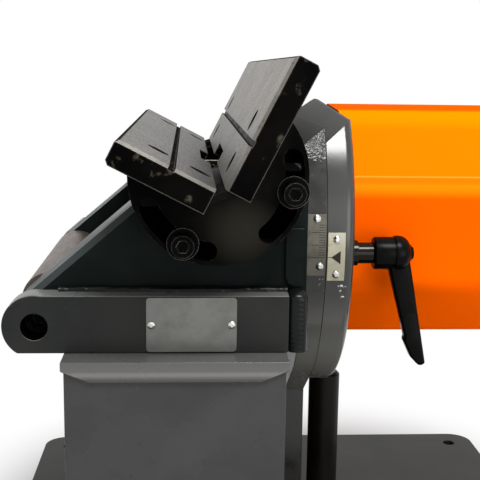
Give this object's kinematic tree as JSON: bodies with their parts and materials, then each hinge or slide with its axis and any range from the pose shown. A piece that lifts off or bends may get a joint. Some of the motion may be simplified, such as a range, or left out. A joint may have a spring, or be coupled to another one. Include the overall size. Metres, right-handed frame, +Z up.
{
  "type": "edge chamfering machine",
  "caption": "Bench edge chamfering machine: a tilting V-guide over a milling cutter whose motor swivels on an eccentric flange to set the chamfer.",
  "frame": {"origin": "middle of the foot plate's underside", "axes": "+Z up, +X from the guide towards the motor, +Y from the front rail end to the rear one"},
  "size_m": [0.593, 0.52, 0.487],
  "materials": {
    "grey_paint": "hammered grey machine paint",
    "dark_paint": "black paint",
    "black_oxide": "black oxide",
    "blued_steel": "hardened, oiled, edges worn bright",
    "bare_steel": "turned",
    "carbide": "ground carbide",
    "orange_paint": "gloss orange paint",
    "cast_aluminium": "cast",
    "sheet_aluminium": "rolled sheet",
    "black_plastic": "moulded",
    "black_powder": "black powder coat over zinc",
    "green_plastic": "moulded",
    "red_plastic": "moulded"
  },
  "bodies": {
    "root": {"foot_plate": "grey_paint", "base_cabinet": "grey_paint", "cabinet_lid": "grey_paint", "front_bar": "grey_paint", "rear_bar": "grey_paint", "front_web": "grey_paint", "rear_web": "grey_paint", "tie_bar": "bare_steel", "tie_bolts": "black_oxide", "head_flange": "grey_paint", "flange_bolts": "black_oxide", "flange_washers": "black_oxide", "disc_clamp_screws": "black_oxide", "disc_clamp_washers": "black_oxide", "depth_ruler": "sheet_aluminium", "ruler_rivets": "sheet_aluminium", "notice_plate": "sheet_aluminium", "notice_rivets": "sheet_aluminium", "support_post": "dark_paint", "corner_welds": "grey_paint"},
    "v_guide": {"front_disc": "black_oxide", "rear_disc": "black_oxide", "left_rail": "blued_steel", "right_rail": "blued_steel", "rail_screws": "black_oxide", "rail_keys": "black_oxide"},
    "motor_unit": {"housing_flange": "grey_paint", "motor_housing": "orange_paint", "end_cover": "orange_paint", "motor_barrel": "cast_aluminium", "stator": "bare_steel", "rear_bell": "cast_aluminium", "front_bearing": "bare_steel", "rear_bearing": "bare_steel", "depth_pointer": "sheet_aluminium", "pointer_rivets": "sheet_aluminium", "switch_box": "black_plastic", "button_rings": "black_plastic", "cable_gland": "black_plastic"},
    "spindle": {"spindle_shaft": "bare_steel", "rotor": "bare_steel", "cooling_fan": "black_plastic", "cutter_head": "bare_steel", "cutter_inserts": "carbide", "insert_screws": "black_oxide", "cutter_cap": "black_oxide", "cutter_bolt": "black_oxide"},
    "lever_stud": {"lever_stud": "bare_steel", "lever_screw": "bare_steel"},
    "clamp_lever": {"clamp_lever": "black_powder"},
    "start_button": {"start_button": "green_plastic"},
    "stop_button": {"stop_button": "red_plastic"}
  },
  "joints": [
    {"name": "guide_tilt", "type": "hinge", "parent": "root", "child": "v_guide", "pos_m": [-0.07, 0, 0.396], "axis": [0, -1, 0], "range_deg": [-18, 27]},
    {"name": "depth_swivel", "type": "hinge", "parent": "root", "child": "motor_unit", "pos_m": [0.022, 0, 0.334], "axis": [-1, 0, 0], "range_deg": [-4, 7]},
    {"name": "spindle_turn", "type": "hinge", "parent": "motor_unit", "child": "spindle", "pos_m": [-0.07, -0.01548, 0.33319], "axis": [1, 0, 0], "continuous": true},
    {"name": "lever_turn", "type": "hinge", "parent": "root", "child": "lever_stud", "pos_m": [0.08, -0.12799, 0.32258], "axis": [-1, 0, 0], "range_deg": [0, 100]},
    {"name": "lever_lift", "type": "slide", "parent": "lever_stud", "child": "clamp_lever", "axis": [1, 0, 0], "range_m": [0, 0.0035], "stiffness_N_per_m": 600},
    {"name": "start_press", "type": "slide", "parent": "motor_unit", "child": "start_button", "axis": [-1, 0, 0], "range_m": [0, 0.004], "stiffness_N_per_m": 300},
    {"name": "stop_press", "type": "slide", "parent": "motor_unit", "child": "stop_button", "axis": [-1, 0, 0], "range_m": [0, 0.004], "stiffness_N_per_m": 300}
  ]
}
